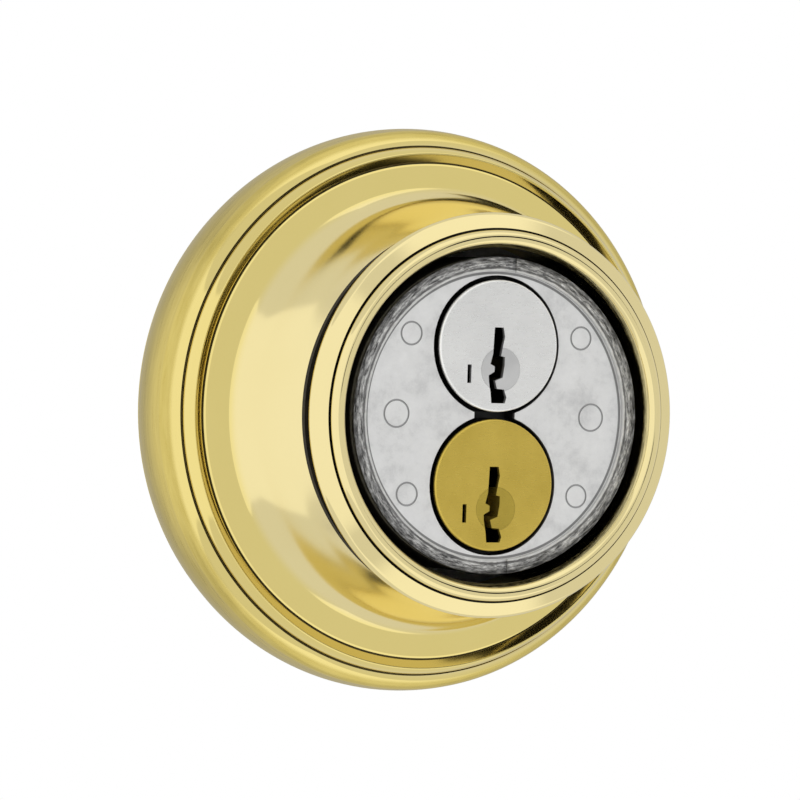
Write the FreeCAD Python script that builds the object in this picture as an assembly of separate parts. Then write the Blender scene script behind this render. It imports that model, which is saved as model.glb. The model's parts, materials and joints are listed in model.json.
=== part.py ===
import FreeCAD, Part
import math
import os

# Two-cylinder keyed deadbolt, outside half: trim, housing, two key plugs, gear train, tailpiece.
# Millimetres. The door face is the plane y = 0, -Y points out of the door and +Z is up.
# Heights above the door face (h below) are therefore -y.

V = FreeCAD.Vector

# ---- driving sizes -------------------------------------------------------------------
ROSE_R = 33.35              # outer radius of the round trim
PLUG_R = 7.55               # radius of a key plug
FOLLOWER_PITCH = 3.81       # spacing of the five key followers along the plug
FOLLOWERS = 5
FIRST_FOLLOWER = 6.3        # plug face to the first follower
REAR_LENGTH = 6.76          # last follower to the door face
UPPER_PROUD = 0.6           # the upper plug stands this far out of the housing face
LOWER_PROUD = 0.4           # the lower plug stands this far out of the housing face
DOOR_BORE_R = 27.0          # 54 mm cross bore in the door
TAIL_REACH = 60.0           # tailpiece end, measured into the door
GEAR_TEETH = 12
SCREW_HOLE_R = 2.05         # tapped hole for a no. 10 machine screw
SCREW_HOLE_DEEP = 12.0
COVER_SCREW_R = 1.2
PIN_R = 0.7                 # cross pin of the tailpiece

# ---- clearances ----------------------------------------------------------------------
RUN = 0.05                  # running fit, radial
SLIDE = 0.10                # sliding fit of flat pieces, each side
SEAT = 0.02                 # radial gap of a piece held in its seat
PLUG_GAP = 0.8              # wall and gaps between the two plugs
LIP_GAP = 1.1               # open ring between housing and trim

# ---- derived sizes -------------------------------------------------------------------
PLUG_Z = PLUG_R + PLUG_GAP / 2
HOUSING_R = PLUG_Z + PLUG_R + 2.6
RIM_R = HOUSING_R - 1.6
FACE_H = FIRST_FOLLOWER + (FOLLOWERS - 1) * FOLLOWER_PITCH + REAR_LENGTH - UPPER_PROUD
RIM_H = FACE_H + 0.5
LIP_R = HOUSING_R + LIP_GAP
HUB_R = LIP_R + 3.95
HUB_H = RIM_H - 1.6          # foot of the lip round the housing
BORE_R = PLUG_R + RUN
MOUTH_R = PLUG_R + 0.5
MOUTH_DEEP = 2.5
WEB = 3.0                   # wall behind the plug bores
FLANGE_R = ROSE_R - 2.45
FLANGE_H = (1.6, 4.2)
SPIGOT_Y = 9.0
BACK_RELIEF = 0.25          # the housing stops short of the door face; the trim bears on it
COVER_T = 1.6
COVER_R = PLUG_Z + PLUG_R + 0.4
SCREW_SPAN = COVER_R + SCREW_HOLE_R + 0.25     # mounting hole to the lock's centre
SPIGOT_R = SCREW_SPAN + 3.3
LAYOUT_R = 7.55             # plug radius for which the inside of the plug is drawn


def s(value):
    """Size of the plug's inner layout, scaled to the plug radius."""
    return value * PLUG_R / LAYOUT_R


# plug layout, around the plug's own centre (x right, z up)
NECK_R = s(6.0)
CLIP_Y = (0.3, 1.1)
CLIP_R = (s(5.2), s(7.0))
CHAMBER_R = s(7.4)
TAIL_Y = 1.9                # end of the plug's neck
LUG_Y = 4.9
LUG = (s(2.2), s(5.6), s(1.3))      # inner radius, outer radius, half width
DISC_R = s(6.5)
DISC_Y = (2.2, 5.5)
POCKET_Y = 5.1
TEETH_Y = 8.4
MODULE = PLUG_Z / GEAR_TEETH
PINION_TIP = (GEAR_TEETH / 2 + 0.85) * MODULE
PIN_Y = 12.8
GEAR_JOURNAL_R = s(2.4)
HUB_JOURNAL_R = s(3.4)
HUB_END_Y = 15.0
BLADE = (1.9, s(6.0))       # thickness, width
PLATE_T = 1.2               # follower and rack thickness
LIFT = 2.3                  # travel of a follower
FOLLOWER_X = (s(-4.4), s(-1.7))
FOLLOWER_Z = (s(-4.2), s(2.1))
FOOT_X = s(0.55)
FOOT_Z = (s(-2.4), s(-1.2))
RACK_X = s(-5.7)
RACK_Z = (s(-3.0), s(1.8))
TOOTH = s(0.3)
CARRIER_X = s(-4.72)
CARRIER_Z = s(4.85)
SPRING_X = s(-3.0)
SPRING_R = 0.5
WIRE_R = 0.1
CAP_X = (s(-4.2), s(-1.8))
CAP_Z = s(6.0)
BAR_X = (s(-7.5), s(-6.25))
BAR_Z = s(0.65)
BAR_THROW = 0.8
END_ROOM = 1.7              # from an outer follower's centre to the end of the rack pocket

KEYWAY = [(-0.61, 2.11), (-0.73, -0.88), (-1.04, -2.08), (-0.49, -2.35), (-0.49, -2.95),
          (-1.22, -3.38), (-1.16, -4.15), (-0.92, -5.34), (-0.79, -6.54), (0.92, -6.54),
          (1.14, -5.89), (0.79, -4.96), (-0.12, -4.90), (-0.37, -3.98), (0.57, -3.60),
          (0.79, -2.19), (0.79, -1.26), (0.31, -1.15), (0.45, -0.34), (0.73, 1.08),
          (0.53, 2.11)]
KEYWAY = [(s(x), s(z)) for x, z in KEYWAY]

# round marks that the casting die leaves on the housing face: x, z, radius
EJECTOR_MARKS = [(side * s(12.5), 0.0, 1.65) for side in (-1, 1)]
EJECTOR_MARKS += [(side * s(10.9), up * s(9.1), 1.4) for side in (-1, 1) for up in (-1, 1)]


# ---- shape helpers -------------------------------------------------------------------
def rod(r, y0, y1, x=0.0, z=0.0):
    return Part.makeCylinder(r, y1 - y0, V(x, y0, z), V(0, 1, 0))


def ring(r_out, r_in, y0, y1, x=0.0, z=0.0):
    return rod(r_out, y0, y1, x, z).cut(rod(r_in, y0 - 1, y1 + 1, x, z))


def block(x0, x1, y0, y1, z0, z1):
    return Part.makeBox(x1 - x0, y1 - y0, z1 - z0, V(x0, y0, z0))


def prism(points, y0, y1, x=0.0, z=0.0):
    """Closed polygon in the x-z plane, carried from y0 to y1."""
    corners = [V(x + px, y0, z + pz) for px, pz in points]
    face = Part.Face(Part.makePolygon(corners + corners[:1]))
    return face.extrude(V(0, y1 - y0, 0))


def lathe(start, steps):
    """Turned shape: each step is a line (one point), an arc (two) or a spline (more)."""
    def at(p):
        return V(p[0], -p[1], 0)
    edges = []
    here = start
    for step in steps + [[start]]:
        if len(step) == 1:
            edges.append(Part.makeLine(at(here), at(step[0])))
        elif len(step) == 2:
            edges.append(Part.Arc(at(here), at(step[0]), at(step[1])).toShape())
        else:
            curve = Part.BSplineCurve()
            curve.interpolate([at(here)] + [at(p) for p in step])
            edges.append(curve.toShape())
        here = step[-1]
    face = Part.Face(Part.Wire(edges))
    return face.revolve(V(0, 0, 0), V(0, 1, 0), 360)


def coil(r, wire, pitch, length, base, along):
    """Coil spring of the given overall length, standing on base and pointing along."""
    height = length - 2 * wire
    helix = Part.makeHelix(pitch, height, r)
    circle = Part.Wire(Part.makeCircle(wire, V(r, 0, 0), V(0, 1, 0)))
    body = Part.Wire(helix).makePipeShell([circle], True, True)
    body.translate(V(0, 0, wire))
    turn = FreeCAD.Rotation(V(0, 0, 1), along)
    body.Placement = FreeCAD.Placement(base, turn).multiply(body.Placement)
    return body


def join(shapes):
    whole = shapes[0].multiFuse(shapes[1:])
    return whole.removeSplitter()


def save(shape, node):
    shape.exportStep("parts/" + node + ".step")


# ---- trim ----------------------------------------------------------------------------
def outer_trim():
    """Round rose, flare and hub in one shell, with the groove for its retaining ring."""
    start = (FLANGE_R + 0.2, 0)
    outside = [
        [(ROSE_R - 1.2, 0)],
        [(ROSE_R - 0.95, 0.08), (ROSE_R - 0.88, 0.35)],
        [(ROSE_R, 5.0), (ROSE_R - 0.25, 7.6)],
        [(ROSE_R - 0.55, 8.35), (ROSE_R - 1.1, 8.75)],
        [(ROSE_R - 1.65, 9.15), (ROSE_R - 2.1, 9.75)],
        [(ROSE_R - 2.15, 9.5)],
        [(ROSE_R - 2.25, 9.5)],
        [(ROSE_R - 2.3, 9.9)],
        [(ROSE_R - 2.55, 10.95), (ROSE_R - 2.95, 11.55)],
        [(ROSE_R - 3.1, 11.65), (ROSE_R - 3.25, 11.6)],
        [(ROSE_R - 4.1, 11.2)],
        [(ROSE_R - 4.1, 10.9)],
        [(ROSE_R - 4.25, 10.9)],
        [(ROSE_R - 4.3, 11.35)],
        [(ROSE_R - 4.5, 11.45)],
        [(ROSE_R - 7.1, 12.22)],
        [(ROSE_R - 7.7, 12.8), (HUB_R + 1.5, 14.2), (HUB_R + 0.65, 16.4), (HUB_R - 0.3, 20.0),
         (HUB_R - 1.0, 23.9)],
        [(HUB_R - 2.0, 24.0)],
        [(HUB_R - 2.0, HUB_H - 0.1)],
        [(HUB_R - 0.3, HUB_H + 0.1)],
        [(HUB_R, HUB_H + 0.9), (HUB_R - 0.45, HUB_H + 1.4)],
        [(HUB_R - 1.75, HUB_H + 1.95)],
        [(HUB_R - 1.8, HUB_H + 1.4)],
        [(HUB_R - 1.95, HUB_H + 1.4)],
        [(HUB_R - 2.0, HUB_H + 1.8)],
        [(HUB_R - 3.0, HUB_H + 2.9), (LIP_R + 0.3, HUB_H + 2.35)],
        [(LIP_R, HUB_H + 1.7)],
    ]
    inside = [
        [(LIP_R, HUB_H)],
        [(LIP_R + 1.0, HUB_H - 1.0)],
        [(LIP_R + 1.0, 17.0)],
        [(LIP_R + 2.6, 13.2)],
        [(ROSE_R - 6.0, 10.0)],
        [(ROSE_R - 4.0, 8.0)],
        [(ROSE_R - 4.0, FLANGE_H[1])],
        [(FLANGE_R + 0.2, FLANGE_H[1])],
        [(FLANGE_R + 0.2, FLANGE_H[0] - 0.05)],
        [(FLANGE_R + 1.1, FLANGE_H[0] - 0.05)],
        [(FLANGE_R + 1.1, FLANGE_H[0] - 1.15)],
        [(FLANGE_R + 0.2, FLANGE_H[0] - 1.15)],
    ]
    return lathe(start, outside + inside)


def trim_ring():
    """Open snap ring behind the housing flange; it sits in the trim's groove."""
    body = ring(FLANGE_R + 1.1 - RUN, FLANGE_R - 1.4, -FLANGE_H[0] + 0.1, -FLANGE_H[0] + 1.1)
    return body.cut(block(-4.0, 4.0, -5, 5, -ROSE_R, 0))


# ---- housing -------------------------------------------------------------------------
def housing():
    front = -RIM_H
    face = -FACE_H
    body = join([
        rod(HOUSING_R, front, SPIGOT_Y),
        rod(FLANGE_R, -FLANGE_H[1], -FLANGE_H[0]),
        rod(FLANGE_R - 2.1, -FLANGE_H[1], -BACK_RELIEF),
        rod(SPIGOT_R, -1, SPIGOT_Y),
    ])
    body = body.cut(rod(RIM_R, front - 1, face))
    cuts = []
    for z in (PLUG_Z, -PLUG_Z):
        cuts.append(rod(BORE_R, face - 1, -WEB, 0, z))
        cuts.append(rod(MOUTH_R, face - 1, face + MOUTH_DEEP, 0, z))
        cuts.append(rod(NECK_R + RUN, -WEB - 1, 1, 0, z))
        cuts.append(rod(CHAMBER_R, 0, SPIGOT_Y + 1, 0, z))
        y_front, y_back = pocket_ends()
        reach = BAR_X[0] - BAR_THROW - 0.15
        cuts.append(block(reach, 0, y_front + 0.9, y_back - 0.9, z - BAR_Z - SLIDE, z + BAR_Z + SLIDE))
    cuts.append(block(-s(2.6), s(2.6), face - 1, face + MOUTH_DEEP, -0.4, 0.4))
    cuts.append(rod(PINION_TIP + 0.5, 1.5, SPIGOT_Y + 1))
    for x in (-SCREW_SPAN, SCREW_SPAN):
        cuts.append(rod(SCREW_HOLE_R, SPIGOT_Y - SCREW_HOLE_DEEP, SPIGOT_Y + 1, x))
    for x, z in cover_screw_places():
        cuts.append(rod(COVER_SCREW_R + SEAT, SPIGOT_Y - 6.5, SPIGOT_Y + 1, x, z))
    # round marks left by the casting die, and the two parting notches in the rim
    for x, z, r in EJECTOR_MARKS:
        cuts.append(ring(r, r - 0.22, face - 1, face + 0.12, x, z))
    for z in (-HOUSING_R, RIM_R - 0.3):
        cuts.append(block(0.6, 2.0, front - 1, front + 0.3, z, z + 1.9))
    return body.cut(cuts)


def cover_screw_places():
    return [(side * s(10.9), up * s(7.0)) for side in (-1, 1) for up in (-1, 1)]


def adapter_ring():
    """Ring that centres the housing spigot in the door bore."""
    inner = SPIGOT_R + RUN
    outer = DOOR_BORE_R - 0.1
    front = -BACK_RELIEF
    back = front + 7.0
    return join([
        ring(inner + 1.4, inner, front, back),
        ring(outer, outer - 1.4, front, back),
        ring(outer, inner, front, front + 1.4),
    ])


def gear_cover():
    body = rod(COVER_R, SPIGOT_Y, SPIGOT_Y + COVER_T)
    holes = [rod(GEAR_JOURNAL_R + RUN, 0, 20, 0, z) for z in (PLUG_Z, -PLUG_Z)]
    holes.append(rod(HUB_JOURNAL_R + RUN, 0, 20))
    holes += [rod(COVER_SCREW_R + 0.15, 0, 20, x, z) for x, z in cover_screw_places()]
    return body.cut(holes)


def cover_screws():
    """Four pan head screws; cross recess in each head."""
    screws = []
    seat = SPIGOT_Y + COVER_T
    for x, z in cover_screw_places():
        shank = rod(COVER_SCREW_R, seat - 7.0, seat + 0.2, x, z)
        head = rod(2.2, seat, seat + 1.4, x, z)
        rim = [e for e in head.Edges if abs(e.BoundBox.YMin - seat - 1.4) < 1e-6]
        head = head.makeFillet(0.5, rim[:1])
        slots = [block(x - 1.2, x + 1.2, seat + 0.8, seat + 2, z - 0.25, z + 0.25),
                 block(x - 0.25, x + 0.25, seat + 0.8, seat + 2, z - 1.2, z + 1.2)]
        screws.append(shank.fuse(head).cut(slots))
    return Part.makeCompound(screws)


# ---- gear train ----------------------------------------------------------------------
def gear_outline(phase_deg):
    """Spur gear outline with straight-flanked stub teeth."""
    pitch_r = MODULE * GEAR_TEETH / 2
    tip = pitch_r + 0.85 * MODULE
    root = pitch_r - 1.15 * MODULE
    step = 2 * math.pi / GEAR_TEETH
    points = []
    for i in range(GEAR_TEETH):
        mid = math.radians(phase_deg) + i * step
        for radius, share in ((root, -0.34), (pitch_r, -0.215), (tip, -0.095),
                              (tip, 0.095), (pitch_r, 0.215), (root, 0.34)):
            angle = mid + share * step
            points.append((radius * math.cos(angle), radius * math.sin(angle)))
    return points


def quarter_ring(r_in, r_out, y0, y1, z):
    """Part ring from the +x direction round to +z."""
    return ring(r_out, r_in, y0, y1, 0, z).common(block(0, r_out, y0, y1, z, z + r_out))


def drive_gear(z):
    """Gear behind a plug; the plug's lug has a quarter turn of free travel in its pocket."""
    r_in, r_out, half = LUG
    wide = half + RUN
    far = math.hypot(r_out, half) + 0.1
    body = join([
        rod(DISC_R, DISC_Y[0], DISC_Y[1], 0, z),
        prism(gear_outline(0), DISC_Y[1] - 0.1, TEETH_Y, 0, z),
        rod(GEAR_JOURNAL_R, TEETH_Y - 0.1, SPIGOT_Y + COVER_T + 0.3, 0, z),
    ])
    y0 = DISC_Y[0] - 1
    pocket = [
        quarter_ring(r_in - 0.15, far, y0, POCKET_Y, z),
        block(r_in - 0.15, far - 0.15, y0, POCKET_Y, z - wide, z + wide),
        block(-wide, wide, y0, POCKET_Y, z + r_in - 0.15, z + far - 0.15),
    ]
    return body.cut(pocket)


def tailpiece_pinion():
    thick, wide = BLADE
    body = join([
        prism(gear_outline(180 / GEAR_TEETH), DISC_Y[1] + 0.3, TEETH_Y),
        rod(HUB_JOURNAL_R, TEETH_Y - 0.1, HUB_END_Y),
    ])
    slot = block(-thick / 2 - SEAT, thick / 2 + SEAT, 9.5, HUB_END_Y + 1,
                 -wide / 2 - SEAT, wide / 2 + SEAT)
    pin_hole = Part.makeCylinder(PIN_R + SEAT, 20, V(-10, PIN_Y, 0), V(1, 0, 0))
    return body.cut([slot, pin_hole])


def tailpiece_blade():
    thick, wide = BLADE
    body = block(-thick / 2, thick / 2, 9.55, TAIL_REACH, -wide / 2, wide / 2)
    ends = [e for e in body.Edges if abs(e.BoundBox.YMin - TAIL_REACH) < 1e-6
            and e.BoundBox.ZLength < 1e-6]
    body = body.makeChamfer(0.8, [e for e in ends if e.BoundBox.YLength < 1e-6])
    return body.cut(Part.makeCylinder(PIN_R + SEAT, 20, V(-10, PIN_Y, 0), V(1, 0, 0)))


def tailpiece_pin():
    half = HUB_JOURNAL_R - 0.15
    return Part.makeCylinder(PIN_R, 2 * half, V(-half, PIN_Y, 0), V(1, 0, 0))


# ---- key plugs -----------------------------------------------------------------------
def follower_places():
    first = -(FACE_H + UPPER_PROUD - FIRST_FOLLOWER)
    return [first + i * FOLLOWER_PITCH for i in range(FOLLOWERS)]


def pocket_ends():
    """Front and back of the pocket that holds the rack carrier."""
    places = follower_places()
    return places[0] - END_ROOM, places[-1] + END_ROOM


def at_centre(shape, z):
    shape.translate(V(0, 0, z))
    return shape


def insert_disc(front):
    return rod(s(2.5), front, front + 3.0, s(0.3), s(-2.7))


def plug_body(proud, z):
    front = -FACE_H - proud
    y_front, y_back = pocket_ends()
    body = join([
        rod(PLUG_R, front, -WEB - RUN),
        rod(NECK_R, -WEB - 1, TAIL_Y),
        block(LUG[0], LUG[1], TAIL_Y - 0.1, LUG_Y, -LUG[2], LUG[2]),
    ])
    edge = [e for e in body.Edges if abs(e.BoundBox.YMax - front) < 1e-6]
    body = body.makeFillet(0.25, edge[:1])
    cuts = [
        prism(KEYWAY, front - 1, -WEB - 0.6),
        insert_disc(front - 0.001),
        ring(NECK_R + 1, CLIP_R[0] - RUN, CLIP_Y[0] - RUN, CLIP_Y[1] + RUN),
        block(s(-9), CARRIER_X + SLIDE, y_front, y_back, -CARRIER_Z - SLIDE, CARRIER_Z + SLIDE),
        block(CAP_X[0] - RUN, CAP_X[1] + RUN, y_front, y_back, CAP_Z, s(9)),
        block(s(-3.95), s(-3.45), front - 1, front + 3.0, s(-4.3), s(-2.2)),
    ]
    half = PLATE_T / 2 + SLIDE
    for y in follower_places():
        cuts.append(block(FOLLOWER_X[0] - 0.5, FOLLOWER_X[1] + SLIDE, y - half, y + half,
                          FOLLOWER_Z[0] - SLIDE, FOLLOWER_Z[1] + LIFT + 0.2))
        cuts.append(block(FOLLOWER_X[1], FOOT_X + SLIDE, y - half, y + half,
                          FOOT_Z[0] - SLIDE, FOOT_Z[1] + LIFT + SLIDE))
        cuts.append(Part.makeCylinder(SPRING_R + WIRE_R + 0.1, CAP_Z - s(4) + 0.1,
                                      V(SPRING_X, y, s(4)), V(0, 0, 1)))
    return at_centre(body.cut(cuts), z)


def plug_inserts(proud, z):
    """Hardened disc let into the plug face; the keyway parts it into a left and a right piece."""
    front = -FACE_H - proud
    disc = rod(s(2.5) - SEAT, front, front + 3.0 - SEAT, s(0.3), s(-2.7))
    return at_centre(disc.cut(prism(KEYWAY, front - 1, front + 4)), z)


def plug_clip(z):
    body = ring(CLIP_R[1], CLIP_R[0], CLIP_Y[0], CLIP_Y[1])
    return at_centre(body.cut(block(-s(3), s(3), -5, 5, -s(9), 0)), z)


def zigzag(shift):
    """Rack tooth line from the bottom to the top of the rack."""
    points = []
    count = int(round((RACK_Z[1] - RACK_Z[0]) / TOOTH))
    for i in range(count + 1):
        depth = TOOTH if i % 2 else 0
        points.append((FOLLOWER_X[0] + depth / 2 - TOOTH / 2 + shift, RACK_Z[0] + i * TOOTH))
    return points


def follower(y, z):
    """Plate with a foot in the keyway and a toothed back edge."""
    x0, x1 = FOLLOWER_X
    z0, z1 = FOLLOWER_Z
    outline = [(x0, z0), (x1, z0), (x1, FOOT_Z[0]), (FOOT_X - 0.3, FOOT_Z[0]),
               (FOOT_X, FOOT_Z[0] + 0.3), (FOOT_X, FOOT_Z[1]), (x1, FOOT_Z[1]), (x1, z1), (x0, z1)]
    outline += list(reversed(zigzag(0.04)))
    return prism(outline, y - PLATE_T / 2, y + PLATE_T / 2, 0, z)


def rack(y, z):
    """Toothed rack behind the follower, with the sidebar notch in its outer edge."""
    outline = zigzag(-0.04)
    mid = s(0.35)
    outline += [(RACK_X, RACK_Z[1]), (RACK_X, mid), (RACK_X + 0.3, mid - 0.1),
                (RACK_X + 0.3, -mid + 0.1), (RACK_X, -mid), (RACK_X, RACK_Z[0])]
    return prism(outline, y - PLATE_T / 2, y + PLATE_T / 2, 0, z)


def follower_spring(y, z):
    z0 = FOLLOWER_Z[1]
    base = V(SPRING_X, y, z + z0)
    return coil(SPRING_R, WIRE_R, 0.62, CAP_Z - z0, base, V(0, 0, 1))


def spring_cap(z):
    y_front, y_back = pocket_ends()
    strip = block(CAP_X[0], CAP_X[1], y_front + RUN, y_back - RUN, CAP_Z, s(9))
    return at_centre(strip.common(rod(PLUG_R - 0.06, y_front, y_back)), z)


def rack_carrier(z):
    """Segment that guides the racks and the sidebar; it fills the side pocket of the plug."""
    y_front, y_back = pocket_ends()
    body = rod(PLUG_R - 0.1, y_front + SLIDE, y_back - SLIDE)
    body = body.common(block(s(-9), CARRIER_X, y_front, y_back, -CARRIER_Z, CARRIER_Z))
    half = PLATE_T / 2 + SLIDE
    cuts = [block(s(-9), BAR_X[1] + SLIDE, y_front + 0.9, y_back - 0.9,
                  -BAR_Z - SLIDE, BAR_Z + SLIDE)]
    for y in follower_places():
        cuts.append(block(RACK_X - SLIDE, 0, y - half, y + half,
                          RACK_Z[0] - SLIDE, RACK_Z[1] + LIFT + 0.05))
        cuts.append(block(BAR_X[1] - 0.5, RACK_X, y - half, y + half, -s(0.4), s(0.4)))
    for y in bar_spring_places():
        cuts.append(Part.makeCylinder(0.5, CARRIER_X - BAR_X[1] - 0.13, V(BAR_X[1], y, 0), V(1, 0, 0)))
    return at_centre(body.cut(cuts), z)


def bar_spring_places():
    places = follower_places()
    return [(places[0] + places[1]) / 2, (places[-2] + places[-1]) / 2]


def sidebar(z):
    """Locking bar with a bevelled nose and a fin for each rack."""
    x0, x1 = BAR_X
    y_front, y_back = pocket_ends()
    nose = [(x1, -BAR_Z), (x1, BAR_Z), (x0 + 0.4, BAR_Z), (x0, BAR_Z - 0.4),
            (x0, -BAR_Z + 0.4), (x0 + 0.4, -BAR_Z)]
    parts = [prism(nose, y_front + 1.0, y_back - 1.0)]
    for y in follower_places():
        parts.append(block(x1 - 0.1, RACK_X - 0.1, y - 0.5, y + 0.5, -s(0.25), s(0.25)))
    return at_centre(join(parts), z)


def bar_springs(z):
    springs = []
    for y in bar_spring_places():
        base = V(BAR_X[1], y, z)
        springs.append(coil(0.32, 0.07, 0.32, CARRIER_X - BAR_X[1] - 0.17, base, V(1, 0, 0)))
    return Part.makeCompound(springs)


# ---- nodes ---------------------------------------------------------------------------
def main():
    os.makedirs("parts", exist_ok=True)
    save(outer_trim(), "outer_trim")
    save(trim_ring(), "trim_ring")
    save(housing(), "cylinder_housing")
    save(adapter_ring(), "adapter_ring")
    save(gear_cover(), "gear_cover")
    save(cover_screws(), "cover_screws")
    save(tailpiece_pinion(), "tailpiece_pinion")
    save(tailpiece_blade(), "tailpiece_blade")
    save(tailpiece_pin(), "tailpiece_pin")
    for name, proud, z in (("upper", UPPER_PROUD, PLUG_Z), ("lower", LOWER_PROUD, -PLUG_Z)):
        save(drive_gear(z), name + "_drive_gear")
        save(plug_body(proud, z), name + "_plug")
        save(plug_inserts(proud, z), name + "_plug_inserts")
        save(plug_clip(z), name + "_plug_clip")
        save(spring_cap(z), name + "_spring_cap")
        save(rack_carrier(z), name + "_rack_carrier")
        save(sidebar(z), name + "_sidebar")
        save(bar_springs(z), name + "_sidebar_springs")
        for i, y in enumerate(follower_places()):
            place = name + "_" + str(i + 1)
            save(follower(y, z), "follower_" + place)
            save(rack(y, z), "rack_" + place)
            save(follower_spring(y, z), "spring_" + place)


main()
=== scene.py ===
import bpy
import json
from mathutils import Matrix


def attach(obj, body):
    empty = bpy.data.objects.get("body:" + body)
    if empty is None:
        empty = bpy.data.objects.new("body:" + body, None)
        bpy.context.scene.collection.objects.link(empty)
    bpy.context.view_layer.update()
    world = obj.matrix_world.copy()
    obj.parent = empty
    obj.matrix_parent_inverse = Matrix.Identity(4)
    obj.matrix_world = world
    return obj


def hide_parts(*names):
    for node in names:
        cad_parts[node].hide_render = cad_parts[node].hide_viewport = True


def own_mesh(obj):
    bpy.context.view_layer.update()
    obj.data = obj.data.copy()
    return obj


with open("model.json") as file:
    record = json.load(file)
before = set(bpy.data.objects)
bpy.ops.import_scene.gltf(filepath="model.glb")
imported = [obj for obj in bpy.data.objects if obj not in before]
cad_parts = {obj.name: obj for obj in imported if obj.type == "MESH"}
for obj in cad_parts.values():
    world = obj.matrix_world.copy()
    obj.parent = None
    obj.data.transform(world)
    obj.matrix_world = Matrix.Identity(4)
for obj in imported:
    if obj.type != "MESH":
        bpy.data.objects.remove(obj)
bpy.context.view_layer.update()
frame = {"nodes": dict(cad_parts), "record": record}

import json
import math

import bmesh
import bpy
from mathutils import Matrix, Vector

MM = 0.001
NODES = frame["nodes"]

# ---- sizes, in millimetres; heights are measured out of the door face ----------------
ROSE_R = 33.35
HOUSING_R = 18.1
RIM_R = 16.5
FACE_H = 27.7
RIM_H = 28.2
LIP_R = 19.2
HUB_R = 23.15
HUB_H = RIM_H - 1.6         # foot of the lip round the housing
PLUG_Z = 7.95
UPPER_PROUD = 0.6
LOWER_PROUD = 0.4

# ---- fineness of the meshes ----------------------------------------------------------
AROUND = 360                # facets round the trim
ARC_STEPS = 14
CURVE_STEPS = 10            # from one point of a smooth curve to the next
EDGE = 0.05                 # from the end of a line to its support point, in millimetres
TRIM_CREASE = 22            # degrees over which an edge shades sharp
COIL_CREASE = 50


# ---- profile helpers -----------------------------------------------------------------
def arc(a, m, b):
    """Points of the circle through three points, after a and up to b."""
    ax, ay = a
    bx, by = m
    cx, cy = b
    a2, b2, c2 = ax**2 + ay**2, bx**2 + by**2, cx**2 + cy**2
    d = 2 * (ax * (by - cy) + bx * (cy - ay) + cx * (ay - by))
    ux = (a2 * (by - cy) + b2 * (cy - ay) + c2 * (ay - by)) / d
    uy = (a2 * (cx - bx) + b2 * (ax - cx) + c2 * (bx - ax)) / d
    r = math.hypot(ax - ux, ay - uy)
    t0 = math.atan2(ay - uy, ax - ux)
    t1 = math.atan2(cy - uy, cx - ux)
    tm = math.atan2(by - uy, bx - ux)
    turn = (t1 - t0) % (2 * math.pi)
    if (tm - t0) % (2 * math.pi) > turn:
        turn -= 2 * math.pi
    steps = [t0 + turn * (i + 1) / ARC_STEPS for i in range(ARC_STEPS)]
    return [(ux + r * math.cos(t), uy + r * math.sin(t)) for t in steps]


def smooth(points):
    """Catmull-Rom points through the given ones, after the first."""
    out = []
    ends = [points[0]] + points + [points[-1]]
    for p0, p1, p2, p3 in zip(ends, ends[1:], ends[2:], ends[3:]):
        for i in range(CURVE_STEPS):
            t = (i + 1) / CURVE_STEPS
            out.append(tuple(
                0.5 * (2 * b + (c - a) * t + (2 * a - 5 * b + 4 * c - d) * t * t
                       + (3 * b - a - 3 * c + d) * t ** 3)
                for a, b, c, d in zip(p0, p1, p2, p3)))
    return out


def straight(a, b):
    """A line with a support point near each end, so that it shades flat."""
    length = math.dist(a, b)
    if length < 4 * EDGE:
        return [b]
    shares = (EDGE / length, 1 - EDGE / length, 1)
    return [(a[0] + (b[0] - a[0]) * share, a[1] + (b[1] - a[1]) * share) for share in shares]


def profile(start, steps):
    """A step of one point is a line, of two an arc and of more a smooth curve."""
    line = [start]
    for step in steps:
        here = line[-1]
        if len(step) == 1:
            line += straight(here, step[0])
        elif len(step) == 2:
            line += arc(here, step[0], step[1])
        else:
            line += smooth([here] + step)
    return line


# ---- mesh helpers --------------------------------------------------------------------
def new_object(name, mesh):
    obj = bpy.data.objects.new(name, mesh)
    bpy.context.scene.collection.objects.link(obj)
    return obj


def solid(name, verts, faces, crease):
    """Smooth-shaded object from points in millimetres, with its faces turned outwards."""
    mesh = bpy.data.meshes.new(name)
    mesh.from_pydata([(x * MM, y * MM, z * MM) for x, y, z in verts], [], faces)
    bm = bmesh.new()
    bm.from_mesh(mesh)
    bmesh.ops.recalc_face_normals(bm, faces=bm.faces)
    bm.to_mesh(mesh)
    bm.free()
    for poly in mesh.polygons:
        poly.use_smooth = True
    mesh.set_sharp_from_angle(angle=math.radians(crease))
    return new_object(name, mesh)


def lathe(name, line, crease):
    """Turns a closed (radius, height) outline round the lock's axis."""
    verts = []
    faces = []
    for r, h in line:
        for i in range(AROUND):
            t = 2 * math.pi * i / AROUND
            verts.append((r * math.cos(t), -h, r * math.sin(t)))
    for k in range(len(line)):
        a = k * AROUND
        b = (k + 1) % len(line) * AROUND
        for i in range(AROUND):
            j = (i + 1) % AROUND
            faces.append((a + i, b + i, b + j, a + j))
    return solid(name, verts, faces, crease)


# ---- node helpers --------------------------------------------------------------------
def colour_of(value):
    """The colour itself, or the grey of a number."""
    rgb = value if isinstance(value, tuple) else (value, value, value)
    return (*rgb, 1.0)


def band(*places, level=1.0):
    """Ramp stops that rise between the first two places and fall between the last two."""
    return list(zip(places, (0.0, level, level, 0.0)))


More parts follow.
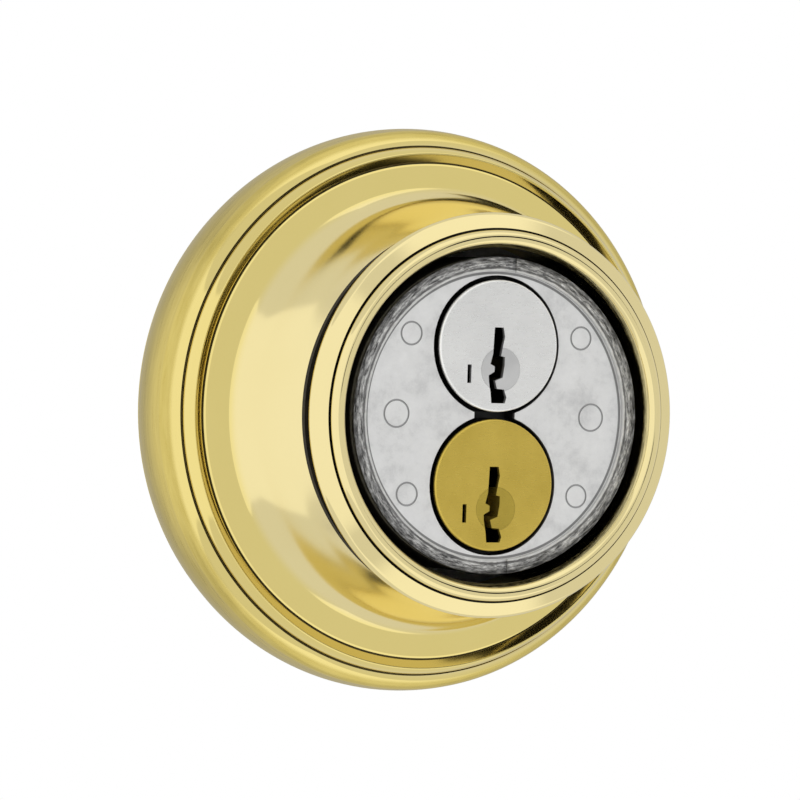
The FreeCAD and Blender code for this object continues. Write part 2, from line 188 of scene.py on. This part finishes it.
class Graph:
    """Short hand for wiring one node tree."""

    def __init__(self, tree):
        self.tree = tree

    def add(self, kind, **values):
        node = self.tree.nodes.new(kind)
        for key, value in values.items():
            setattr(node, key, value)
        return node

    def give(self, socket, value):
        """Links the socket to an output, or sets it to a colour or number."""
        if isinstance(value, bpy.types.NodeSocket):
            self.tree.links.new(value, socket)
        elif socket.type == "RGBA":
            socket.default_value = colour_of(value)
        else:
            socket.default_value = value

    def maths(self, operation, *values):
        node = self.add("ShaderNodeMath", operation=operation)
        for socket, value in zip(node.inputs, values):
            self.give(socket, value)
        return node.outputs[0]

    def ramp(self, source, stops):
        """Each stop is a place from 0 to 1, and the colour or number there."""
        node = self.add("ShaderNodeValToRGB")
        ramp = node.color_ramp
        while len(ramp.elements) < len(stops):
            ramp.elements.new(0.5)
        for element, (where, value) in zip(ramp.elements, stops):
            element.position = where
            element.color = colour_of(value)
        self.give(node.inputs["Fac"], source)
        return node.outputs["Color"]

    def span(self, source, none, full, kind="SMOOTHSTEP"):
        """0 up to none, 1 from full on; none may be the larger of the two."""
        node = self.add("ShaderNodeMapRange", interpolation_type=kind)
        self.give(node.inputs["From Min"], none)
        self.give(node.inputs["From Max"], full)
        self.give(node.inputs["Value"], source)
        return node.outputs["Result"]

    def mix(self, share, a, b):
        """a where share is 0, b where it is 1."""
        node = self.add("ShaderNodeMix", data_type="RGBA")
        self.give(node.inputs["Factor"], share)
        for name, value in (("A", a), ("B", b)):
            socket = [i for i in node.inputs if i.name == name and i.type == "RGBA"][0]
            self.give(socket, value)
        return [o for o in node.outputs if o.type == "RGBA"][0]


class Material(Graph):
    """One node material, laid out in the object's own coordinates."""

    def __init__(self, name):
        self.mat = bpy.data.materials.new(name)
        self.mat.use_nodes = True
        super().__init__(self.mat.node_tree)
        self.place = self.add("ShaderNodeTexCoord").outputs["Object"]
        split = self.add("ShaderNodeSeparateXYZ")
        self.give(split.inputs[0], self.place)
        self.x, self.depth, self.z = split.outputs

    def put(self, socket, value):
        shader = self.tree.nodes["Principled BSDF"]
        self.give(shader.inputs[socket], value)

    def radius(self):
        """Distance from the lock's axis."""
        flat = self.add("ShaderNodeVectorMath", operation="MULTIPLY")
        flat.inputs[1].default_value = (1, 0, 1)
        self.give(flat.inputs[0], self.place)
        length = self.add("ShaderNodeVectorMath", operation="LENGTH")
        self.give(length.inputs[0], flat.outputs[0])
        return length.outputs["Value"]

    def by_radius(self, none, full, kind="SMOOTHSTEP"):
        """0 to 1 between two radii in millimetres."""
        return self.span(self.radius(), none * MM, full * MM, kind)

    def by_height(self, none, full):
        """0 to 1 between two heights in millimetres."""
        return self.span(self.depth, -none * MM, -full * MM)

    def noise_at(self, vector, scale, detail, rough):
        node = self.add("ShaderNodeTexNoise")
        self.give(node.inputs["Scale"], scale)
        self.give(node.inputs["Detail"], detail)
        self.give(node.inputs["Roughness"], rough)
        self.give(node.inputs["Vector"], vector)
        return node.outputs["Fac"]

    def noise(self, scale, detail, stretch=(1, 1, 1), rough=0.55):
        node = self.add("ShaderNodeMapping")
        node.inputs["Scale"].default_value = stretch
        self.give(node.inputs["Vector"], self.place)
        return self.noise_at(node.outputs["Vector"], scale, detail, rough)

    def turned_noise(self, scale, detail, rough):
        """Noise drawn out round the lock's axis, as a lathe or a worn die leaves it."""
        polar = self.add("ShaderNodeCombineXYZ")
        angle = self.maths("ARCTAN2", self.z, self.x)
        self.give(polar.inputs["X"], self.maths("MULTIPLY", angle, TURNED_PER_RADIAN))
        self.give(polar.inputs["Y"], self.maths("MULTIPLY", self.radius(), TURNED_PER_METRE))
        self.give(polar.inputs["Z"], self.maths("MULTIPLY", self.depth, TURNED_PER_METRE))
        return self.noise_at(polar.outputs[0], scale, detail, rough)

    def bump(self, source, strength, distance, after=None):
        node = self.add("ShaderNodeBump")
        self.give(node.inputs["Strength"], strength)
        self.give(node.inputs["Distance"], distance)
        self.give(node.inputs["Height"], source)
        if after is not None:
            self.give(node.inputs["Normal"], after)
        return node.outputs["Normal"]


# ---- materials -----------------------------------------------------------------------
TURNED_PER_RADIAN = 9.0
TURNED_PER_METRE = 2600.0

# polished brass: radii and heights between which one finish gives way to the next
SIDE_FINISH = (ROSE_R - 1.5, ROSE_R - 1.0)
NECK_FINISH = (HUB_R + 3.3, HUB_R + 2.3)
HUB_TO_NECK = (25.0, 24.3)

# zinc: places on the housing
RIM_SHARP = 0.02            # half the width over which the face turns into the rim
RIM_PAINTED_LINES = 0.6             # half the width of the ring that holds the rim's double line of painted shade and painted highlight
WORN_FROM = RIM_R + 0.5
MARK_DEPTHS = (0.01, 0.09)  # below the face, where the die marks are painted grey as shade
HOLE_DEPTHS = (0.2, 0.7)    # below the face, where the openings are painted dark as shade
ZINC_BACK = (7.0, 4.5)      # heights between which the front's painted shade and highlight give way to plain skin

ZINC_WHITE = (0.80, 0.80, 0.79)
# painted shade colours: down in the openings, on the rim's lines and in the die marks
OPENING_SHADE = (0.03, 0.03, 0.03)
RIM_SHADE_PAINT = (0.13, 0.13, 0.13)
MARK_SHADE_GREY = (0.40, 0.40, 0.40)

# other metals: heights below which a front piece is painted dark inside, as shade
NICKEL_DARK = FACE_H + UPPER_PROUD - 0.25
BRASS_DARK = FACE_H + LOWER_PROUD - 0.25
STEEL_DARK = FACE_H + LOWER_PROUD - 0.1
KEYWAY_FADE = 0.35
METAL_BACK = (4.0, 0.0)     # heights between which that gives way to plain skin
KEYWAY_SHADE_PAINT = (0.012, 0.011, 0.009)


def polished_brass():
    """Bright on the face and paler on the neck and hub; the neck's wall shines a little softer.
    The side wall is linished round the rose and duller."""
    m = Material("polished_brass")
    m.put("Metallic", 1.0)
    side = m.by_radius(*SIDE_FINISH)
    inner = m.by_radius(*NECK_FINISH)
    wall = m.maths("MULTIPLY", m.by_height(*HUB_TO_NECK), inner)
    tone = m.noise(60, 3)
    face = m.ramp(tone, [(0.3, (0.81, 0.67, 0.24)), (0.7, (0.83, 0.69, 0.26))])
    pale = m.ramp(tone, [(0.3, (0.84, 0.72, 0.36)), (0.7, (0.86, 0.74, 0.38))])
    lines = m.noise(1500, 5, stretch=(0.12, 1.6, 0.12), rough=0.7)
    dull = m.ramp(lines, [(0.3, (0.57, 0.45, 0.12)), (0.7, (0.70, 0.57, 0.18))])
    m.put("Base Color", m.mix(side, m.mix(inner, face, pale), dull))
    haze = m.ramp(m.noise(420, 5), [(0.3, 0.05), (0.75, 0.09)])
    soft = m.ramp(tone, [(0.3, 0.10), (0.7, 0.13)])
    linished = m.ramp(lines, [(0.3, 0.24), (0.7, 0.38)])
    m.put("Roughness", m.mix(side, m.mix(wall, haze, soft), linished))
    m.put("Normal", m.bump(m.noise(900, 4), 0.05, 0.00002))
    return m.mat


def recess(name, deep, shallow):
    """Painted shade for the trim's grooves: dark colours that stand in for the shade down in them."""
    m = Material(name)
    m.put("Metallic", 0.3)
    m.put("Base Color", m.ramp(m.noise(800, 4), [(0.3, deep), (0.8, shallow)]))
    m.put("Roughness", m.ramp(m.noise(1200, 3), [(0.3, 0.45), (0.7, 0.7)]))
    return m.mat


def cast_zinc(name, base, dark):
    """Die-cast skin with a fine grain and blotches. The front also has a rough rim with a double line
    of painted shade and painted highlight, die marks painted grey as shade, and painted shade down in
    the openings."""
    m = Material(name)
    m.put("Metallic", 0.75)
    bright = tuple(min(1, c * 1.08) for c in base)
    skin = m.ramp(m.noise(260, 6, rough=0.7), [(0.3, dark), (0.5, base), (0.72, bright)])
    pits = m.turned_noise(1.6, 7, rough=0.75)
    coarse = m.ramp(pits, [(0.38, 0.06), (0.50, 0.36), (0.62, ZINC_WHITE)])
    worn = m.ramp(pits, [(0.42, 0.03), (0.56, 0.20), (0.70, (0.62, 0.62, 0.61))])
    rough_rim = m.mix(m.by_radius(WORN_FROM, HOUSING_R), coarse, worn)
    rim = m.by_radius(RIM_R - RIM_SHARP, RIM_R + RIM_SHARP)
    across = m.by_radius(RIM_R - RIM_PAINTED_LINES, RIM_R + RIM_PAINTED_LINES, "LINEAR")
    # painted shade: a dark line at the foot of the rim and a thin one just outside its edge
    inner_shade_line = band(0.17, 0.21, 0.41, 0.46, level=0.8)
    outer_shade_line = band(0.70, 0.75, 0.88, 0.95, level=0.75)
    painted_shade_lines = m.ramp(across, inner_shade_line + outer_shade_line)
    # painted highlight: a pale line along the rim's inner edge
    painted_highlight_line = m.ramp(across, band(0.45, 0.49, 0.66, 0.71, level=0.75))
    cast = m.mix(painted_shade_lines, m.mix(rim, skin, rough_rim), RIM_SHADE_PAINT)
    with_painted_lines = m.mix(painted_highlight_line, cast, ZINC_WHITE)
    # painted shade: grey in the die marks, near-black down in the openings
    marks = m.by_height(*(FACE_H - d for d in MARK_DEPTHS))
    painted_hole_shade = m.by_height(*(FACE_H - d for d in HOLE_DEPTHS))
    front = m.mix(painted_hole_shade, m.mix(marks, with_painted_lines, MARK_SHADE_GREY), OPENING_SHADE)
    m.put("Base Color", m.mix(m.by_height(*ZINC_BACK), front, skin))
    m.put("Roughness", m.ramp(m.noise(700, 4), [(0.3, 0.38), (0.7, 0.56)]))
    grain = m.bump(m.noise(1500, 5, rough=0.7), 0.5, 0.00008)
    swell = m.bump(m.noise(330, 4), 0.5, 0.0002, grain)
    m.put("Normal", m.bump(m.maths("MULTIPLY", rim, pits), 0.9, 0.00025, swell))
    return m.mat


def satin_metal(name, light, dark, rough=0.3, stretch=(1, 1, 14), shade_painted_below=None):
    """Finely brushed metal; at the front, what lies below the given height is painted dark as shade.
    """
    m = Material(name)
    m.put("Metallic", 0.85)
    streak = m.noise(900, 5, stretch)
    skin = m.ramp(m.noise(180, 4), [(0.35, dark), (0.65, light)])
    if shade_painted_below is not None:
        painted_sunk_shade = m.by_height(shade_painted_below, shade_painted_below - KEYWAY_FADE)
        front = m.mix(painted_sunk_shade, skin, KEYWAY_SHADE_PAINT)
        skin = m.mix(m.by_height(*METAL_BACK), front, skin)
    m.put("Base Color", skin)
    m.put("Roughness", m.ramp(streak, [(0.3, rough - 0.06), (0.7, rough + 0.1)]))
    m.put("Normal", m.bump(streak, 0.08, 0.00002))
    return m.mat


def moulded(name, base):
    m = Material(name)
    light = tuple(c * 1.35 for c in base)
    m.put("Base Color", m.ramp(m.noise(500, 4), [(0.35, base), (0.7, light)]))
    m.put("Roughness", m.ramp(m.noise(900, 3), [(0.3, 0.45), (0.7, 0.62)]))
    m.put("Normal", m.bump(m.noise(1400, 4), 0.2, 0.00004))
    return m.mat


MATERIALS = {
    "polished_brass": polished_brass(),
    "painted_recess_shade": recess("painted_recess_shade", (0.010, 0.008, 0.004), (0.035, 0.026, 0.010)),
    "painted_shade_brass": recess("painted_shade_brass", (0.10, 0.075, 0.018), (0.19, 0.14, 0.035)),
    "dark_brass": satin_metal("dark_brass", (0.56, 0.42, 0.07), (0.46, 0.34, 0.055)),
    "cast_zinc": cast_zinc("cast_zinc", ZINC_WHITE, (0.64, 0.64, 0.635)),
    "satin_nickel": satin_metal("satin_nickel", (0.95, 0.95, 0.93), (0.88, 0.88, 0.865),
                                shade_painted_below=NICKEL_DARK),
    "satin_brass": satin_metal("satin_brass", (0.70, 0.52, 0.10), (0.62, 0.455, 0.08),
                               shade_painted_below=BRASS_DARK),
    "yellow_brass": satin_metal("yellow_brass", (0.70, 0.55, 0.24), (0.60, 0.46, 0.18), 0.26),
    "hardened_steel": satin_metal("hardened_steel", (0.74, 0.74, 0.73), (0.62, 0.62, 0.615),
                                  0.34, (1, 1, 1), shade_painted_below=STEEL_DARK),
    "plated_steel": satin_metal("plated_steel", (0.70, 0.71, 0.72), (0.60, 0.61, 0.63), 0.28),
    "spring_steel": satin_metal("spring_steel", (0.42, 0.43, 0.45), (0.32, 0.33, 0.35), 0.30),
    "moulded_plastic": moulded("moulded_plastic", (0.018, 0.018, 0.019)),
}


def dress(obj, name):
    obj.data.materials.clear()
    obj.data.materials.append(MATERIALS[name])


# ---- trim ----------------------------------------------------------------------------
# indices 1 and 2 are painted shade, near-black and a dark brass tone
DARK, SHADED = 1, 2         # the trim's material indices, after the polished brass

# turned grooves, among them the undercut under the hub with the neck's top edge, all painted in shade
# colours: inner and outer radius, low and high edge, material index
GROOVES = [
    (ROSE_R - 2.29, ROSE_R - 2.12, 9.4, 9.85, SHADED),
    (ROSE_R - 4.28, ROSE_R - 4.07, 10.8, 11.3, SHADED),
    (HUB_R - 2.1, HUB_R - 0.28, 23.2, HUB_H + 0.12, DARK),
    (HUB_R - 1.98, HUB_R - 1.77, HUB_H + 1.3, HUB_H + 1.75, DARK),
]

# closed (radius, height) outline, from the foot inside the side wall
TRIM_START = (ROSE_R - 2.25, 0)
TRIM_OUTLINE = [
    # foot and side wall
    [(ROSE_R - 1.2, 0)],
    [(ROSE_R - 0.95, 0.08), (ROSE_R - 0.88, 0.35)],
    [(ROSE_R, 5.0), (ROSE_R - 0.25, 7.6)],
    [(ROSE_R - 0.55, 8.35), (ROSE_R - 1.1, 8.75)],
    [(ROSE_R - 1.65, 9.15), (ROSE_R - 2.1, 9.75)],
    # first groove and the bead inside it
    [(ROSE_R - 2.15, 9.5)],
    [(ROSE_R - 2.25, 9.5)],
    [(ROSE_R - 2.3, 9.9)],
    [(ROSE_R - 2.55, 10.95), (ROSE_R - 2.95, 11.55)],
    [(ROSE_R - 3.1, 11.65), (ROSE_R - 3.25, 11.6)],
    [(ROSE_R - 4.1, 11.2)],
    # second groove and the sloping disc
    [(ROSE_R - 4.1, 10.9)],
    [(ROSE_R - 4.25, 10.9)],
    [(ROSE_R - 4.3, 11.35)],
    [(ROSE_R - 4.5, 11.45)],
    [(ROSE_R - 7.1, 12.22)],
    # flare and neck
    [(ROSE_R - 7.7, 12.8), (HUB_R + 1.5, 14.2), (HUB_R + 0.65, 16.4), (HUB_R - 0.3, 20.0),
     (HUB_R - 1.0, 23.9)],
    # undercut and the hub's ring
    [(HUB_R - 2.0, 24.0)],
    [(HUB_R - 2.0, HUB_H - 0.1)],
    [(HUB_R - 0.3, HUB_H + 0.1)],
    [(HUB_R, HUB_H + 0.9), (HUB_R - 0.45, HUB_H + 1.4)],
    [(HUB_R - 1.75, HUB_H + 1.95)],
    # groove and the lip round the housing
    [(HUB_R - 1.8, HUB_H + 1.4)],
    [(HUB_R - 1.95, HUB_H + 1.4)],
    [(HUB_R - 2.0, HUB_H + 1.8)],
    [(HUB_R - 3.0, HUB_H + 2.9), (LIP_R + 0.3, HUB_H + 2.35)],
    [(LIP_R, HUB_H + 1.7)],
    [(LIP_R, HUB_H)],
    # inside, down to the snap ring's groove
    [(LIP_R + 1.0, HUB_H - 1.0)],
    [(LIP_R + 1.0, 17.0)],
    [(LIP_R + 2.6, 13.2)],
    [(ROSE_R - 6.0, 10.0)],
    [(ROSE_R - 4.0, 8.0)],
    [(ROSE_R - 4.0, 4.2)],
    [(ROSE_R - 2.25, 4.2)],
    [(ROSE_R - 2.25, 1.55)],
    [(ROSE_R - 1.35, 1.55)],
    [(ROSE_R - 1.35, 0.45)],
    [(ROSE_R - 2.25, 0.45)],
]


def make_trim():
    obj = lathe("trim_shell", profile(TRIM_START, TRIM_OUTLINE), TRIM_CREASE)
    dress(obj, "polished_brass")
    obj.data.materials.append(MATERIALS["painted_recess_shade"])
    obj.data.materials.append(MATERIALS["painted_shade_brass"])
    # faces down in the grooves get the painted shade
    for poly in obj.data.polygons:
        x, y, z = poly.center / MM
        for inner, outer, low, high, index in GROOVES:
            if inner < math.hypot(x, z) < outer and low < -y < high:
                poly.material_index = index
    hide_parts("outer_trim")
    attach(obj, "lock_body")


make_trim()


# ---- follower springs ----------------------------------------------------------------
FOLLOWERS = 5
FOLLOWER_PITCH = 3.81
FIRST_FOLLOWER = 6.3        # from the upper plug's face to the first follower
SPRING_X = -3.0             # from the plug's centre
SPRING_FOOT = 2.1           # on the follower, above the plug's centre
SPRING_TOP = 6.0            # under the spring cap
SPRING_R = 0.5              # to the middle of the wire
SPRING_PITCH = 0.62
WIRE_R = 0.1
FOOT_GAP = 0.03
COIL_SIDES = 18             # facets in one turn
WIRE_SIDES = 8              # facets round the wire


def coil_spring(name, x, y, foot, top):
    """Standing coil of round wire with capped ends."""
    rise = top - foot - 2 * WIRE_R
    count = round(rise / SPRING_PITCH * COIL_SIDES)
    verts = []
    faces = []
    for i in range(count + 1):
        t = 2 * math.pi * i / COIL_SIDES
        height = foot + WIRE_R + rise * i / count
        for k in range(WIRE_SIDES):
            turn = 2 * math.pi * k / WIRE_SIDES
            r = SPRING_R + WIRE_R * math.cos(turn)
            z = height + WIRE_R * math.sin(turn)
            verts.append((x + r * math.cos(t), y + r * math.sin(t), z))
    for i in range(count):
        for k in range(WIRE_SIDES):
            a = i * WIRE_SIDES + k
            b = i * WIRE_SIDES + (k + 1) % WIRE_SIDES
            faces.append((a, b, b + WIRE_SIDES, a + WIRE_SIDES))
    faces.append(tuple(reversed(range(WIRE_SIDES))))
    faces.append(tuple(range(count * WIRE_SIDES, (count + 1) * WIRE_SIDES)))
    return solid(name, verts, faces, COIL_CREASE)


def make_springs():
    """Each follower's spring hangs under the spring cap, in place of the CAD spring."""
    for plug, centre in (("upper", PLUG_Z), ("lower", -PLUG_Z)):
        for i in range(FOLLOWERS):
            y = FIRST_FOLLOWER - FACE_H - UPPER_PROUD + i * FOLLOWER_PITCH
            foot = centre + SPRING_FOOT + FOOT_GAP
            number = str(i + 1)
            obj = coil_spring("coil_" + plug + "_" + number, SPRING_X, y, foot, centre + SPRING_TOP)
            dress(obj, "spring_steel")
            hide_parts("spring_" + plug + "_" + number)
            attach(obj, plug + "_plug_body")
            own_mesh(obj)


make_springs()

# ---- carried-over CAD nodes ----------------------------------------------------------
SLOTS = {entry["node"]: entry["material_slot"] for entry in frame["record"]["subparts"]}
for name, obj in NODES.items():
    if name == "outer_trim" or name.startswith("spring_"):
        continue
    obj.data.materials.clear()
    obj.data.materials.append(MATERIALS[SLOTS[name]])

# ---- floor and lights, in metres and watts -------------------------------------------
FLOOR_Z = -0.30
FLOOR_HALF = 3.0
LIGHT_AIM = Vector((0, -0.01, 0))
LIGHTS = [
    # name, place, size, power
    ("left_box", (-0.75, -0.55, 0.25), (0.6, 0.9), 1.6),
    ("right_box", (0.65, -0.8, 0.2), (0.6, 0.9), 2.2),
    ("top_box", (0.0, -0.3, 0.95), (0.9, 0.6), 1.8),
]


def paint(name, colour):
    """Matt paint that the camera sees as plain white, without shadows."""
    mat = bpy.data.materials.new(name)
    mat.use_nodes = True
    g = Graph(mat.node_tree)
    matt = g.tree.nodes["Principled BSDF"]
    g.give(matt.inputs["Base Color"], colour)
    g.give(matt.inputs["Roughness"], 0.9)
    glow = g.add("ShaderNodeEmission")
    g.give(glow.inputs["Strength"], 1.0)
    seen = g.add("ShaderNodeMixShader")
    g.give(seen.inputs["Fac"], g.add("ShaderNodeLightPath").outputs["Is Camera Ray"])
    g.give(seen.inputs[1], matt.outputs[0])
    g.give(seen.inputs[2], glow.outputs[0])
    g.give(g.tree.nodes["Material Output"].inputs["Surface"], seen.outputs[0])
    return mat


def make_floor():
    w = FLOOR_HALF
    mesh = bpy.data.meshes.new("floor")
    mesh.from_pydata([(-w, -w, 0), (w, -w, 0), (w, w, 0), (-w, w, 0)], [], [(0, 1, 2, 3)])
    floor = new_object("floor", mesh)
    floor.location = (0, 0, FLOOR_Z)
    floor.data.materials.append(paint("pale_floor", (0.82, 0.82, 0.82)))
    floor.visible_glossy = False


def soft_light(name, place, size, power):
    """Rectangular lamp aimed at the lock; its own shape isn't seen in the metal."""
    data = bpy.data.lights.new(name, "AREA")
    data.shape = "RECTANGLE"
    data.size, data.size_y = size
    data.energy = power
    obj = new_object(name, data)
    obj.location = place
    obj.rotation_euler = (LIGHT_AIM - Vector(place)).to_track_quat("-Z", "Y").to_euler()
    obj.visible_glossy = False


make_floor()
for light in LIGHTS:
    soft_light(*light)

# ---- room that the polished metal reflects -------------------------------------------
# Turns are in degrees: 180 is in front of the lock, 0 behind it, 90 and -90 to the right and
# left of someone who faces it. Heights are the direction's upward share, from -1 to 1.
BOX_LOW, BOX_HIGH = -0.58, 0.56
BOX_SOFT = 0.03
HIGH = 0.64                 # the room's corners start above and below this
HIGH_SOFT = 0.06
FLAG_SOFT_TURN = 2
FLAG_SOFT_HEIGHT = 0.02
WHITE = 1.0                 # what the camera sees
FILL = 0.62                 # what lights the matt surfaces
WALL = 0.80
FLAG = 0.012

# turn and level, high and low in the room
CORNERS = [(-180, 1.1), (-158, 1.1), (-150, WALL), (100, WALL), (112, 1.1), (180, 1.1)]
# turn and level at the height of the soft box, which stands in front and at the left
WALLS_AND_BOX = [(-180, WALL), (-170, WALL), (-168, 1.06), (-36, 1.06), (-32, WALL), (-26, 0.78),
                 (-18, 0.57), (-10, 0.56), (40, 0.60), (80, WALL), (180, WALL)]
# dark flags: left and right turn, low and high edge
FLAGS = [(158, 170, 0.11, 0.155), (170, 176, 0.03, 0.12), (145, 157, 0.06, 0.33)]


def studio_world():
    """The camera sees white, matt surfaces are lit by an even fill, and glossy reflections
    show the room with its soft box and dark flags."""
    world = bpy.data.worlds.new("studio")
    world.use_nodes = True
    g = Graph(world.node_tree)
    split = g.add("ShaderNodeSeparateXYZ")
    g.give(split.inputs[0], g.add("ShaderNodeTexCoord").outputs["Generated"])
    x, y, z = split.outputs
    share = g.maths("DIVIDE", g.maths("ARCTAN2", x, y), 2 * math.pi)
    turn = g.maths("ADD", share, 0.5)

    def levels(stops):
        return g.ramp(turn, [((angle + 180) / 360, level) for angle, level in stops])

    def between(low, high, fade):
        return g.maths("MULTIPLY", g.span(z, low - fade, low), g.span(z, high + fade, high))

    far_up_or_down = g.span(g.maths("ABSOLUTE", z), HIGH - HIGH_SOFT, HIGH)
    walls = g.mix(far_up_or_down, WALL, levels(CORNERS))
    room = g.mix(between(BOX_LOW, BOX_HIGH, BOX_SOFT), walls, levels(WALLS_AND_BOX))
    for left, right, low, high in FLAGS:
        across = levels(band(left - FLAG_SOFT_TURN, left, right, right + FLAG_SOFT_TURN))
        flag = g.maths("MULTIPLY", between(low, high, FLAG_SOFT_HEIGHT), across)
        room = g.mix(flag, room, FLAG)
    path = g.add("ShaderNodeLightPath")
    plain = g.mix(path.outputs["Is Camera Ray"], FILL, WHITE)
    seen = g.mix(path.outputs["Is Glossy Ray"], plain, room)
    g.give(g.tree.nodes["Background"].inputs["Color"], seen)
    return world


bpy.context.scene.world = studio_world()

# ---- camera --------------------------------------------------------------------------
AZIMUTH, ELEVATION, ROLL = -26.44, 0.8, 1.76
DISTANCE = 0.516
LOOK = Vector((1.67, 0.0, 1.08)) * MM
SENSOR = 36.0
FOCAL_PIXELS = 4298
FRAME_PIXELS = 800

camera_data = bpy.data.cameras.new("camera")
camera_data.sensor_width = SENSOR
camera_data.lens = FOCAL_PIXELS / FRAME_PIXELS * SENSOR
camera_data.dof.use_dof = False
camera_data.clip_start = 0.01
camera = new_object("camera", camera_data)
az, el = math.radians(AZIMUTH), math.radians(ELEVATION)
back_way = Vector((math.sin(az) * math.cos(el), -math.cos(az) * math.cos(el), math.sin(el)))
aim = (-back_way).to_track_quat("-Z", "Y")
tilt = Matrix.Rotation(math.radians(ROLL), 4, "Z")
camera.matrix_world = Matrix.Translation(LOOK + back_way * DISTANCE) @ aim.to_matrix().to_4x4() @ tilt
bpy.context.scene.camera = camera
bpy.context.scene.view_settings.view_transform = "Standard"
